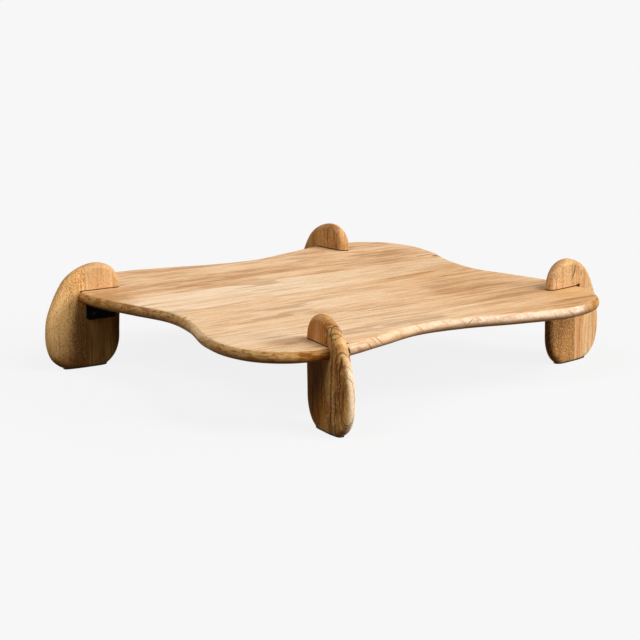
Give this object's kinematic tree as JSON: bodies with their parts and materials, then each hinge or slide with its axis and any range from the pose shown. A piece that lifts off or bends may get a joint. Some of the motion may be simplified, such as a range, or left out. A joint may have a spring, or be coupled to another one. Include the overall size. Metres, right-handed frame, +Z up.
{
  "type": "low table",
  "caption": "Low solid wood table with a free-form, wavy-sided top whose round edge is gripped by pebble-shaped plank legs that stand up past it.",
  "frame": {"origin": "on the floor, under the middle of the table", "axes": "+Z up, +X along the staves of the top, +Y across them, away from the front leg"},
  "size_m": [1.4008, 1.3458, 0.3],
  "materials": {
    "top_wood": "clear satin lacquer on light, streaky mango wood",
    "leg_wood": "clear satin lacquer on light to mid brown mango wood",
    "bracket_steel": "matt black powder coat",
    "screw_steel": "black oxide",
    "foot_pad": "matt black"
  },
  "bodies": {
    "root": {"left_leg_outer_block": "leg_wood", "left_leg_upper_block": "leg_wood", "left_leg_lower_block": "leg_wood", "left_foot_pad": "foot_pad", "left_bracket": "bracket_steel", "left_bracket_leg_screw_1": "screw_steel", "left_bracket_leg_screw_2": "screw_steel", "left_bracket_top_screw_1": "screw_steel", "left_bracket_top_screw_2": "screw_steel", "front_leg_outer_block": "leg_wood", "front_leg_upper_block": "leg_wood", "front_leg_lower_block": "leg_wood", "front_foot_pad": "foot_pad", "front_bracket": "bracket_steel", "front_bracket_leg_screw_1": "screw_steel", "front_bracket_leg_screw_2": "screw_steel", "front_bracket_top_screw_1": "screw_steel", "front_bracket_top_screw_2": "screw_steel", "right_leg_outer_block": "leg_wood", "right_leg_upper_block": "leg_wood", "right_leg_lower_block": "leg_wood", "right_foot_pad": "foot_pad", "right_bracket": "bracket_steel", "right_bracket_leg_screw_1": "screw_steel", "right_bracket_leg_screw_2": "screw_steel", "right_bracket_top_screw_1": "screw_steel", "right_bracket_top_screw_2": "screw_steel", "back_leg_outer_block": "leg_wood", "back_leg_upper_block": "leg_wood", "back_leg_lower_block": "leg_wood", "back_foot_pad": "foot_pad", "back_bracket": "bracket_steel", "back_bracket_leg_screw_1": "screw_steel", "back_bracket_leg_screw_2": "screw_steel", "back_bracket_top_screw_1": "screw_steel", "back_bracket_top_screw_2": "screw_steel", "top_stave_01": "top_wood", "top_stave_02": "top_wood", "top_stave_03": "top_wood", "top_stave_04": "top_wood", "top_stave_05": "top_wood", "top_stave_06": "top_wood", "top_stave_07": "top_wood", "top_stave_08": "top_wood", "top_stave_09": "top_wood", "top_stave_10": "top_wood", "top_stave_11": "top_wood", "top_stave_12": "top_wood"}
  },
  "joints": []
}
